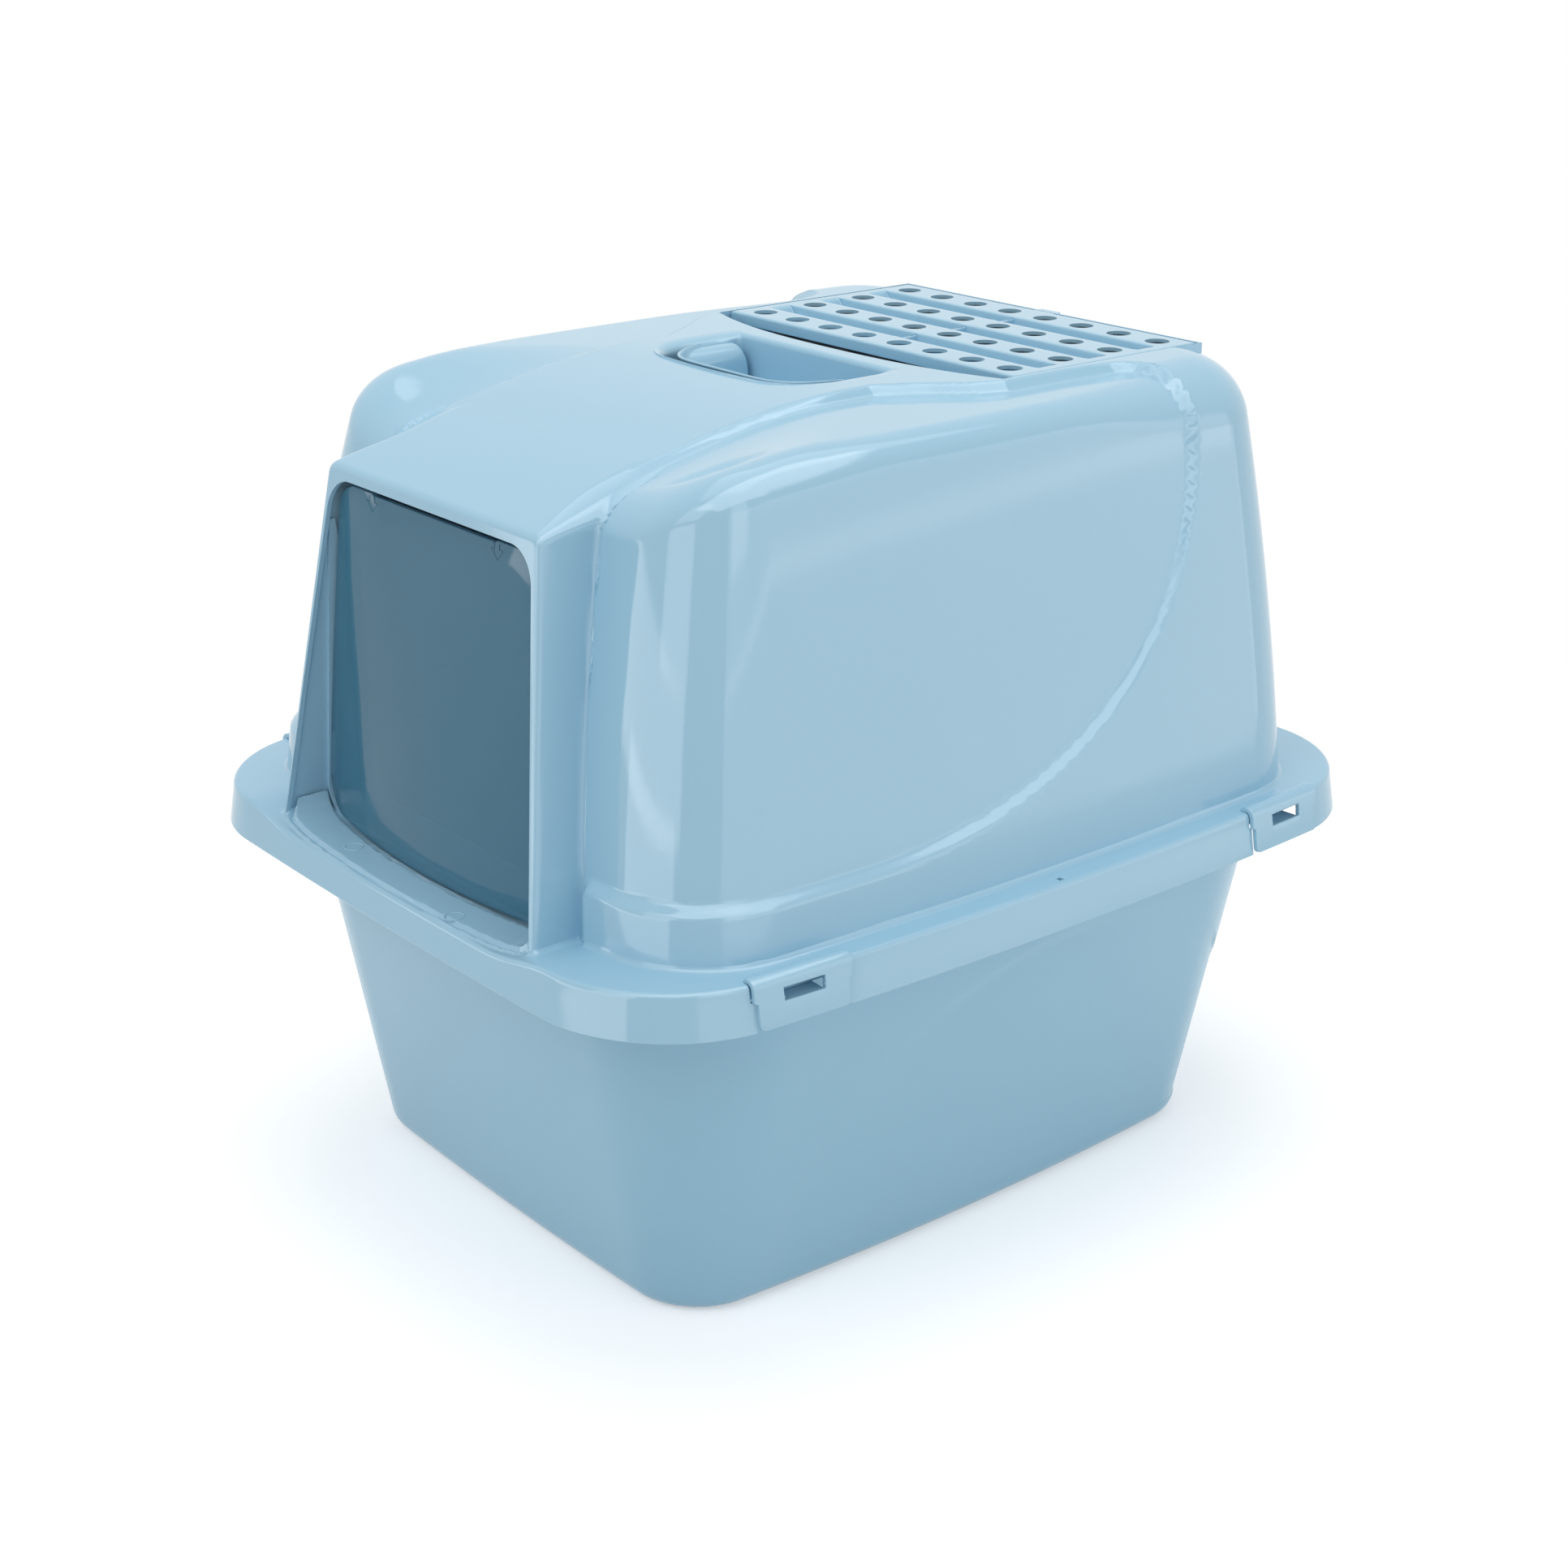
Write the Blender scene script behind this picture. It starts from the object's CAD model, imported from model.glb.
import math

import bmesh
import bpy
import numpy as np
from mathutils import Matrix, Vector


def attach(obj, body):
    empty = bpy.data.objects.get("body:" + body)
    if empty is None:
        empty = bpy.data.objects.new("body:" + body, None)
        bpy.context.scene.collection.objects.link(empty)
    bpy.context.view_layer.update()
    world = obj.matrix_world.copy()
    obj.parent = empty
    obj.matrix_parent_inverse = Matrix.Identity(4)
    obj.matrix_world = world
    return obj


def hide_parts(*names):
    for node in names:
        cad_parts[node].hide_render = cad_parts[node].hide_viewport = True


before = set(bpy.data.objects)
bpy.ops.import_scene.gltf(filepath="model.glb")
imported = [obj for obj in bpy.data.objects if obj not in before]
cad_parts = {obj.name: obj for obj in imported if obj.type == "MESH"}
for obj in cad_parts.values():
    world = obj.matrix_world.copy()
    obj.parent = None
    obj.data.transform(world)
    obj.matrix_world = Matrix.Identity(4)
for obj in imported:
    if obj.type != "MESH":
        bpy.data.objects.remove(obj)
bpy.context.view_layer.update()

# Sizes are in millimetres until a mesh is made. The door faces -Y and the floor is at 0.
MM = 0.001

FLANGE = 223.8
ROOF = 460.5
SHELL = 2.6
HOOD_HALF, HOOD_FRONT, HOOD_REAR = 212.0, 236.0, 230.0
SIDE_LEAN, FRONT_LEAN, REAR_LEAN = 0.145, 0.170, 0.080
HOOD_CORNER = 56.0
SHOULDER = 21.0
RECESS = 5.5
STEP = 7.0
GROOVE = 3.0
SWEEP_LOW, SWEEP_TOP = 252.0, 455.0
SWEEP_START, SWEEP_END, SWEEP_POWER = -128.0, 136.5, 2.22
BAND_AT = [-400, -192, -172, -150, -14, 10, 30, 46, 92, 112, 130, 150, 400]
BAND_HALF = [84, 82, 87, 89, 90, 104, 119, 125, 125.5, 127, 130, 139, 139]
RIM_HALF, RIM_LONG, RIM_CORNER = 231.8, 273.0, 72.6
SKIRT_LOW = 199.8
RIM_BOW = 13.5
PORCH_NARROWS = 0.125
PORCH_FRONT, PORCH_FRONT_LEAN = 258.6, 0.144
VISOR_LEVEL, VISOR_AT, VISOR_SLOPE = 424.0, 229.5, 0.549
TOP_TURN = 65.0
FLOOR_HALF = 30000.0


# Forms as signed distances: negative inside, positive outside

def ease(t):
    """Eases from 0 to 1: three t squared less two t cubed, held flat outside."""
    t = np.clip(t, 0, 1)
    return t * t * (3 - 2 * t)


def both(a, b, r):
    """The part shared by two forms, their edge turned with radius r: the distance from a quarter circle."""
    return np.minimum(np.maximum(a, b), -r) + np.hypot(np.maximum(a + r, 0), np.maximum(b + r, 0))


def either(a, b, r):
    """Two forms joined, the corner between them filled with a cove of radius r."""
    return np.maximum(np.minimum(a, b), r) - np.hypot(np.maximum(r - a, 0), np.maximum(r - b, 0))


def plan_form(x, y, half, front, rear, side_bow, end_bow, corner):
    """Rounded rectangle in plan whose sides bow out as parabolas: the distance past its straight
    sides, or from its corner circles."""
    reach = (front + rear) / 2
    middle = (rear - front) / 2
    side = half - side_bow * ((y - middle) / reach) ** 2
    end = reach - end_bow * (x / half) ** 2
    across = np.abs(x) - side + corner
    along = np.abs(y - middle) - end + corner
    return np.hypot(np.maximum(across, 0), np.maximum(along, 0)) + np.minimum(np.maximum(across, along), 0) - corner


def porch_half(z):
    """Half the porch's width: it narrows by an eighth of the height."""
    return 121.5 - PORCH_NARROWS * (z - FLANGE)


def rounded_plan(x, y, half, front, rear, corner, bow):
    """Rounded rectangle in plan with straight sides and rear, its front bowed as a parabola."""
    ahead = front - bow * (x / half) ** 2
    across = np.abs(x) - half + corner
    along = np.maximum(y - rear, -y - ahead) + corner
    return np.hypot(np.maximum(across, 0), np.maximum(along, 0)) + np.minimum(np.maximum(across, along), 0) - corner


def top_form(y, z, lift=0.0):
    """Flat roof and the visor that slopes down to the doorway, turned into each other with a wide radius."""
    visor = (z - lift - VISOR_LEVEL - VISOR_SLOPE * (y + VISOR_AT)) / math.hypot(1, VISOR_SLOPE)
    return both(visor, z - ROOF, TOP_TURN)


def porch_form(x, y, z):
    """Porch: leaning sides and front under the visor. Its shoulders are turned wider towards the roof."""
    side = (np.abs(x) - porch_half(z)) / math.hypot(1, PORCH_NARROWS)
    front = (-y - PORCH_FRONT + PORCH_FRONT_LEAN * (z - FLANGE)) / math.hypot(1, PORCH_FRONT_LEAN)
    turn = 5.0 + 12.0 * ease((y + 234.0) / 46.0)
    block = both(both(side, top_form(y, z), turn), front, 3.2)
    return np.maximum(block, y + 120.0)


def recess_gap(x, y, z):
    """How far a point of the skin lies inside the sunken panel: ahead of a quarter superellipse on the
    side and outside the raised band on the roof, or in the narrow strip beside the porch."""
    along = np.maximum((y - SWEEP_START) / (SWEEP_END - SWEEP_START), 1e-6)
    down = np.maximum((SWEEP_TOP - z) / (SWEEP_TOP - SWEEP_LOW), 1e-6)
    n = SWEEP_POWER
    ring = (along ** n + down ** n) ** (1 / n)
    slope = np.hypot(
        (along / ring) ** (n - 1) / (SWEEP_END - SWEEP_START), (down / ring) ** (n - 1) / (SWEEP_TOP - SWEEP_LOW)
    )
    sweep = (1 - ring) / slope
    band = (np.abs(x) - np.interp(y, BAND_AT, BAND_HALF)) * 0.95
    panel = both(-sweep, -band, 16.0)
    strip = -np.minimum(porch_half(z) + 5.5 - np.abs(x), np.minimum(-150.0 - y, 300.0 - z))
    return -either(panel, strip, 7.0)


def walls_form(x, y, z):
    """Hood without its porch: bowed outline that leans in faster with height, a turned shoulder, and a
    sunken panel with soft steps. A narrow groove runs up beside the porch."""
    height = z - FLANGE
    drift = height * (0.58 + 0.42 * height / 187)
    walls = plan_form(
        x, y, HOOD_HALF - SIDE_LEAN * drift, HOOD_FRONT - FRONT_LEAN * drift, HOOD_REAR - REAR_LEAN * drift,
        8.0, 4.0, HOOD_CORNER - 8.0 * np.clip(height / 187, 0, 1.2) ** 2.2,
    )
    rear = 10.0 * ease((y - 40.0) / 110.0)
    plain = both(walls, top_form(y, z), SHOULDER + rear)
    lift = 0.008 * np.maximum(np.abs(x) - 84.0, 0) ** 2
    wider = 8.0 * ease((-y - 70.0) / 100.0) * ease((np.abs(x) - 90.0) / 50.0)
    sunken = both(walls, top_form(y, z, lift), SHOULDER + wider + rear) + RECESS
    groove = ease((porch_half(z) + 3.4 - np.abs(x)) / 2.2) * ease((-150.0 - y) / 30) * ease((448.0 - z) / 14)
    return plain + (sunken - plain) * ease(recess_gap(x, y, z) / STEP + 0.5) + GROOVE * groove


def hood_form(x, y, z):
    """Hood and porch joined by a cove that fades out where they share the roof."""
    below = np.clip(-top_form(y, z) / 8.0, 0, 1)
    beside = np.clip((np.abs(x) - 84.0) / 8.0, 0, 1)
    return either(walls_form(x, y, z), porch_form(x, y, z), 0.05 + 4.45 * np.maximum(below, beside))


def rim_level(x, y):
    """Height of the flange's top: it dips in front of the doorway and eases back up."""
    return FLANGE - 7.3 * (1 - ease((np.abs(x) - 92.0) / 56.0)) * ease((-y - 150.0) / 30.0)


def rim_form(x, y, inset):
    """Rim's outline in plan, drawn in."""
    return plan_form(
        x, y, RIM_HALF - inset, RIM_LONG - inset, RIM_LONG - inset, RIM_BOW, 4.6, RIM_CORNER - inset
    )


def sill_line(x):
    """Rear edge of the sill pad, which is also the line of the door's foot."""
    return -246.5 + 11.0 * (x / 104.0) ** 2


def sill_form(x, y):
    """Raised sill pad in plan, between the porch's sides: a bowed strip ahead of the door's foot."""
    return both(rounded_plan(x, y, 117.5, 265.4, -200.0, 7.0, 8.5), y - sill_line(x), 2.0)


def slope_of(form, p, step=0.25):
    """Outward unit direction of a form at points, from differences to each side along the three axes."""
    g = np.empty_like(p)
    for k in range(3):
        d = np.zeros(3)
        d[k] = step
        g[..., k] = form(*np.moveaxis(p + d, -1, 0)) - form(*np.moveaxis(p - d, -1, 0))
    return g / np.maximum(np.linalg.norm(g, axis=-1, keepdims=True), 1e-9)


def meet(form, start, way, low, high, level=0.0):
    """Where rays from start leave a form's level: halves the span between low and high times way."""
    low = np.full(way.shape[:-1], float(low))
    high = np.full(way.shape[:-1], float(high))
    for _ in range(22):
        mid = (low + high) / 2
        outside = form(*np.moveaxis(start + way * mid[..., None], -1, 0)) > level
        high = np.where(outside, mid, high)
        low = np.where(outside, low, mid)
    return start + way * ((low + high) / 2)[..., None]


# Meshes from grids of points

def piece(name, points, faces, material):
    """Mesh object from points in millimetres and an array of equal faces or a list of mixed ones."""
    mesh = bpy.data.meshes.new(name)
    mesh.vertices.add(len(points))
    mesh.vertices.foreach_set("co", (np.asarray(points) * MM).astype(np.float32).ravel())
    if isinstance(faces, list):
        sizes = np.array([len(f) for f in faces])
        corners = np.concatenate([np.asarray(f) for f in faces])
    else:
        sizes, corners = np.full(len(faces), faces.shape[1]), faces.ravel()
    mesh.loops.add(len(corners))
    mesh.loops.foreach_set("vertex_index", corners.astype(np.int32))
    mesh.polygons.add(len(sizes))
    mesh.polygons.foreach_set("loop_start", np.concatenate([[0], np.cumsum(sizes)[:-1]]).astype(np.int32))
    mesh.polygons.foreach_set("use_smooth", np.ones(len(sizes), bool))
    mesh.update(calc_edges=True)
    mesh.validate()
    obj = bpy.data.objects.new(name, mesh)
    bpy.context.scene.collection.objects.link(obj)
    mesh.materials.append(material)
    return obj


def grid_faces(rows, columns, start=0, wrap=False, flip=False):
    """Quads between neighbouring rows and columns of a grid, joined round on itself if wrapped."""
    i = np.arange(rows - 1)[:, None]
    j = np.arange(columns if wrap else columns - 1)[None, :]
    k = (j + 1) % columns
    quads = np.stack([i * columns + j, i * columns + k, (i + 1) * columns + k, (i + 1) * columns + j], -1)
    quads = quads.reshape(-1, 4) + start
    return quads[:, ::-1] if flip else quads


def joined(parts, faces, reach=1e-4):
    """Points of several grids merged where they coincide, and the faces on the merged points."""
    points = np.concatenate([p.reshape(-1, 3) for p in parts])
    keys = np.round(points / reach).astype(np.int64)
    _, first, back = np.unique(keys, axis=0, return_index=True, return_inverse=True)
    back = back.ravel()
    quads = back[np.concatenate(faces)]
    return points[first], quads


def steps(knots, counts):
    """Positions along a line: evenly spaced between knots, with the given count in each span."""
    spans = [np.linspace(a, b, n, endpoint=False) for a, b, n in zip(knots[:-1], knots[1:], counts)]
    return np.concatenate(spans + [[knots[-1]]])


def box_grids(xs, ys, zs, lean):
    """Points of an open-bottomed box in five grids that share their edges. lean(x, y, z) slants the
    columns of its front and the lines of its top."""
    half, front, rear, top = xs[-1], ys[0], ys[-1], zs[-1]
    z, y = np.meshgrid(zs, ys, indexing="ij")
    right = np.stack([np.full_like(y, half), y, z], -1)
    left = np.stack([np.full_like(y, -half), y, z], -1)
    z, x = np.meshgrid(zs, xs, indexing="ij")
    ahead = np.stack([lean(x, front, z), np.full_like(x, front), z], -1)
    behind = np.stack([x, np.full_like(x, rear), z], -1)
    y, x = np.meshgrid(ys, xs, indexing="ij")
    above = np.stack([lean(x, y, top), y, np.full_like(x, top)], -1)
    return [(right, False), (left, True), (ahead, False), (behind, True), (above, False)]


def ways_round(xs, ys):
    """Level directions to the points of a rectangle, once round, starting at the front right corner."""
    x = np.concatenate([np.full(len(ys) - 1, xs[-1]), xs[:0:-1], np.full(len(ys) - 1, xs[0]), xs[:-1]])
    y = np.concatenate([ys[:-1], np.full(len(xs) - 1, ys[-1]), ys[:0:-1], np.full(len(xs) - 1, ys[0])])
    ways = np.stack([x, y, 0 * x], -1)
    return ways / np.linalg.norm(ways, axis=-1, keepdims=True)


def ring_out(form, ways, low=20.0, high=330.0):
    """Distance along each level direction at which a plan form is left."""
    p = meet(lambda x, y, z: form(x, y), np.zeros(3), ways, low, high)
    return np.hypot(p[..., 0], p[..., 1])


def porch_lean(x, y, z):
    """Slants columns so that those at the porch's sides follow them up and fade out along the roof."""
    middle = np.array([0.0, 0.0, FLANGE])
    wall = 240.0 * porch_half(np.minimum(z, 440.0)) / (HOOD_FRONT + 6 - 0.15 * (np.minimum(z, 440.0) - FLANGE))
    wanted = np.where(np.abs(y) > 1e3, 0, wall)
    fade = ease((-y - 60.0) / 120.0)
    knot = 122.0
    to = knot + (wanted - knot) * fade
    side = np.abs(x)
    inner = side * to / knot
    outer = 212.0 - (212.0 - side) * (212.0 - to) / (212.0 - knot)
    return np.sign(x) * np.where(side < knot, inner, outer)


# Materials

class Wire:
    """A node's socket in a sum: adding, scaling and the like make Math nodes in the same tree."""

    def __init__(self, tree, socket):
        self.tree = tree
        self.socket = socket

    def math(self, operation, *others):
        return self.tree.node("ShaderNodeMath", {"operation": operation}, {0: self, **dict(enumerate(others, 1))})

    def __add__(self, other):
        return self.math("ADD", other)

    def __mul__(self, other):
        return self.math("MULTIPLY", other)

    __radd__ = __add__
    __rmul__ = __mul__


class Finish:
    """The emptied node tree of a material, or of the world."""

    def __init__(self, owner):
        self.owner = owner
        owner.use_nodes = True
        self.nodes = owner.node_tree.nodes
        self.links = owner.node_tree.links
        self.nodes.clear()

    def node(self, kind, settings=None, sockets=None, out=0):
        """Adds a node: its settings first, then each socket's value or link. Gives one output."""
        made = self.nodes.new(kind)
        for key, value in (settings or {}).items():
            setattr(made, key, value)
        for key, value in (sockets or {}).items():
            if isinstance(value, Wire):
                self.links.new(value.socket, made.inputs[key])
            else:
                made.inputs[key].default_value = value
        return Wire(self, made.outputs[out]) if len(made.outputs) else None

    def noise(self, size, detail=2.0, roughness=0.5, stretch=(1, 1, 1)):
        """Soft noise whose lumps are about the given size in metres."""
        where = self.node("ShaderNodeTexCoord", out="Object")
        spot = self.node("ShaderNodeMapping", {}, {"Vector": where, "Scale": stretch})
        return self.node(
            "ShaderNodeTexNoise", {}, {"Vector": spot, "Scale": 1 / size, "Detail": detail, "Roughness": roughness}
        )

    def blend(self, share, low, high):
        """Colour between two colours."""
        return self.node("ShaderNodeMix", {"data_type": "RGBA"}, {"Factor": share, 6: low, 7: high}, out=2)

    def bump(self, height, strength, distance):
        """Surface direction over a height."""
        return self.node("ShaderNodeBump", {}, {"Height": height, "Strength": strength, "Distance": distance})

    def surface(self, **sockets):
        """Principled surface with sockets named in words joined by underscores."""
        shader = self.node("ShaderNodeBsdfPrincipled", {}, {k.replace("_", " "): v for k, v in sockets.items()})
        self.node("ShaderNodeOutputMaterial", {}, {"Surface": shader})
        return self.owner


def srgb(r, g, b):
    """Linear colour from display values of 0 to 255."""
    c = np.array([r, g, b]) / 255
    linear = np.where(c <= 0.04045, c / 12.92, ((c + 0.055) / 1.055) ** 2.4)
    return (*linear.tolist(), 1.0)


def moulded_plastic(name, light, dark, rough):
    """Glossy moulded plastic: faint cloudy tint, faint skin ripple and slightly uneven gloss."""
    f = Finish(bpy.data.materials.new(name))
    cloud = f.noise(0.11, 3.0)
    ripple = f.noise(0.006, 2.0)
    grain = f.noise(0.0007, 1.0)
    gloss = f.noise(0.035, 2.0) * 0.05 + (rough - 0.025)
    return f.surface(
        Base_Color=f.blend(cloud, dark, light),
        Roughness=gloss,
        IOR=1.46,
        Specular_IOR_Level=0.45,
        Normal=f.bump(ripple + grain * 0.15, 0.06, 0.0005),
    )


def tinted_plastic(name):
    """Smoky clear plastic of the door: partly see-through and glossy."""
    f = Finish(bpy.data.materials.new(name))
    cloud = f.noise(0.09, 2.0)
    glass = f.node("ShaderNodeBsdfPrincipled", {}, {
        "Base Color": f.blend(cloud, srgb(70, 130, 158), srgb(76, 136, 164)),
        "Roughness": 0.08, "Alpha": 0.60, "IOR": 1.49,
        "Normal": f.bump(f.noise(0.012, 2.0), 0.02, 0.0005),
    })
    f.node("ShaderNodeOutputMaterial", {}, {"Surface": glass})
    return f.owner


door_plastic = tinted_plastic("door_plastic_smoke")
hood_plastic = moulded_plastic("hood_plastic_gloss", srgb(159, 200, 221), srgb(156, 197, 219), 0.09)
pan_plastic = moulded_plastic("pan_plastic_satin", srgb(152, 196, 218), srgb(148, 193, 216), 0.24)


def hood_piece(name, points, faces):
    """Piece moulded in the hood's plastic."""
    return piece(name, points, faces, hood_plastic)


def front_lines():
    """Line positions of the hood's grids: closer together at the porch, the shoulders and the steps."""
    xs = steps([0, 70, 98, 110, 118, 126, 136, 212], [18, 9, 8, 8, 9, 5, 21])
    xs = np.concatenate([-xs[:0:-1], xs])
    ys = steps([-240, -120, 120, 200, 240], [36, 54, 24, 16])
    zs = steps([210, 222, 262, 410, 440, 461], [4, 18, 38, 18, 10])
    return xs, ys, zs


def hood_skin(xs, ys, zs):
    """Closed skin of the hood: the points of a box are moved along rays from the middle of its floor
    to the form's surface, and again, on every other line, to the surface one wall inside it."""
    middle = np.array([0.0, 0.0, FLANGE])
    parts, faces, start = [], [], 0
    for level, every, turned in ((0.0, 1, False), (-SHELL, 2, True)):
        for box, flip in box_grids(xs[::every], ys[::every], zs[::every], porch_lean):
            p = meet(hood_form, middle, box - middle, 0.5, 1.3, level)
            parts.append(p)
            faces.append(grid_faces(p.shape[0], p.shape[1], start, flip=flip != turned))
            start += p[..., 0].size
    return joined(parts, faces)


def prism(outline, low, high, axis=2):
    """Closed block of an outline carried along one axis, as points and faces for a cutter."""
    outline = np.asarray(outline, float)
    n = len(outline)
    flat = np.insert(outline, axis, low, axis=1)
    tall = np.insert(outline, axis, high, axis=1)
    ring = np.arange(n)
    sides = np.stack([ring, (ring + 1) % n, (ring + 1) % n + n, ring + n], -1)
    faces = [*sides.tolist(), ring[::-1].tolist(), (ring + n).tolist()]
    return np.concatenate([flat, tall]), faces


def arc(centre, radius, start, end, count):
    """Points on an arc between two angles in degrees."""
    a = np.radians(np.linspace(start, end, count))
    return np.stack([centre[0] + radius * np.cos(a), centre[1] + radius * np.sin(a)], -1)


def with_normals_out(obj):
    """Turns all faces of a closed piece outwards."""
    made = bmesh.new()
    made.from_mesh(obj.data)
    bmesh.ops.recalc_face_normals(made, faces=made.faces)
    made.to_mesh(obj.data)
    made.free()
    return obj


def settle(obj):
    """Applies a piece's modifiers."""
    bpy.context.view_layer.update()
    depsgraph = bpy.context.evaluated_depsgraph_get()
    mesh = bpy.data.meshes.new_from_object(obj.evaluated_get(depsgraph), depsgraph=depsgraph)
    mesh.name = obj.name
    obj.modifiers.clear()
    obj.data = mesh
    return obj


def walled(obj, thickness, offset=-1):
    """Gives an open sheet its wall: behind its faces, or with an offset of 0 to both sides."""
    wall = obj.modifiers.new("wall", "SOLIDIFY")
    wall.thickness = thickness * MM
    wall.offset = offset
    settle(obj)


def cut(obj, *blocks):
    """Takes closed blocks away from a piece."""
    cutters = []
    for k, (points, faces) in enumerate(blocks):
        cutter = with_normals_out(piece(f"block_{k}", points, faces, obj.data.materials[0]))
        cutters.append(cutter)
        change = obj.modifiers.new(f"cut_{k}", "BOOLEAN")
        change.operation = "DIFFERENCE"
        change.solver = "EXACT"
        change.object = cutter
    settle(obj)
    for cutter in cutters:
        bpy.data.objects.remove(cutter)
    return obj


def sharp(obj, degrees=32.0):
    """Keeps edges steeper than an angle crisp."""
    obj.data.set_sharp_from_angle(angle=math.radians(degrees))
    return obj


def true_normals(obj, form, near=0.5):
    """Takes the shading direction of smooth faces from the form itself, so that highlights run clean.
    Faces that a cut has made keep their own."""
    mesh = obj.data
    count = len(mesh.loops)
    corner = np.empty(count, np.int32)
    mesh.loops.foreach_get("vertex_index", corner)
    own = np.empty(count * 3, np.float32)
    mesh.corner_normals.foreach_get("vector", own)
    own = own.reshape(-1, 3)
    flat = np.empty(len(mesh.polygons) * 3, np.float32)
    mesh.polygons.foreach_get("normal", flat)
    sizes = np.empty(len(mesh.polygons), np.int32)
    mesh.polygons.foreach_get("loop_total", sizes)
    flat = np.repeat(flat.reshape(-1, 3), sizes, axis=0)
    co = np.empty(len(mesh.vertices) * 3, np.float32)
    mesh.vertices.foreach_get("co", co)
    co = co.reshape(-1, 3).astype(float) / MM
    way = slope_of(form, co)[corner]
    side = np.sum(way * flat, -1)
    turned = way * np.sign(side)[:, None]
    normals = np.where((np.abs(side) > 0.75)[:, None], turned, flat)
    mesh.normals_split_custom_set(normals.astype(np.float32))
    return obj


def bay_front(x):
    """Front edge of the filter bay in plan, bowed forwards in the middle."""
    return 31.0 + 16.0 * np.abs(x / 117.0) ** 2.6


def make_hood_shell():
    """Hood shell with its doorway, filter bay and carry pocket cut out."""
    xs, ys, zs = front_lines()
    points, quads = hood_skin(xs, ys, zs)
    hood = hood_piece("hood_shell", points, quads)
    made = bmesh.new()
    made.from_mesh(hood.data)
    edges = [e for e in made.edges if e.is_boundary]
    bmesh.ops.bridge_loops(made, edges=edges)
    bmesh.ops.recalc_face_normals(made, faces=made.faces)
    made.to_mesh(hood.data)
    made.free()
    low, high = 214.0, 412.0
    side_low, side_high = porch_half(low) - 3.0, porch_half(high) - 3.0
    lean = math.degrees(math.atan(PORCH_NARROWS))
    right = arc((side_high - 20.0 * 1.008 + 0.5, high - 20.0), 20.0, lean, 90.0, 14)
    doorway = np.concatenate([[(-side_low, low), (side_low, low)], right, right[::-1] * [-1, 1]])
    bay = np.concatenate([
        [(120.3, 198.8), (9.0, 198.8), (9.0, 205.3), (-9.0, 205.3), (-9.0, 198.8), (-120.3, 198.8)],
        np.stack([np.linspace(-120.3, 120.3, 33), bay_front(np.linspace(-120.3, 120.3, 33))], -1),
    ])
    cut(
        hood,
        prism(doorway, -300.0, -176.0, axis=1),
        prism(bay, 440.0, 480.0),
        prism(pocket_opening(), 430.0, 480.0),
    )
    with_normals_out(hood)
    true_normals(hood, hood_form)
    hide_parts("hood")
    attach(hood, "box")
    return hood


def pocket_line(half, front, rear, corner):
    """Outline of the carry pocket in plan: straight rear corners, wide front corners and a front that
    bows a little forward. The same number of points at every size, counter-clockwise from the rear left."""
    ahead = np.linspace(-1, 1, 33)
    inner = half - corner
    left = arc((-inner, front + corner), corner, 180, 270, 12)
    middle = np.stack([inner * ahead, front + 1.5 * (ahead ** 2 - 1)], -1)[1:-1]
    return np.concatenate([
        np.stack([np.full(8, -half), np.linspace(rear - 3, front + corner, 8, endpoint=False)], -1),
        left, middle, left[::-1] * [-1, 1],
        np.stack([np.full(8, half), np.linspace(front + corner, rear - 3, 9)[1:]], -1),
        arc((half - 3, rear - 3), 3, 18, 90, 5),
        np.stack([np.linspace(half - 3, 3 - half, 31)[1:-1], np.full(29, rear)], -1),
        arc((3 - half, rear - 3), 3, 90, 162, 5),
    ])


def pocket_opening():
    """Edge of the carry pocket's opening in the roof."""
    return pocket_line(72.0, -53.5, 21.5, 36.0)


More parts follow.
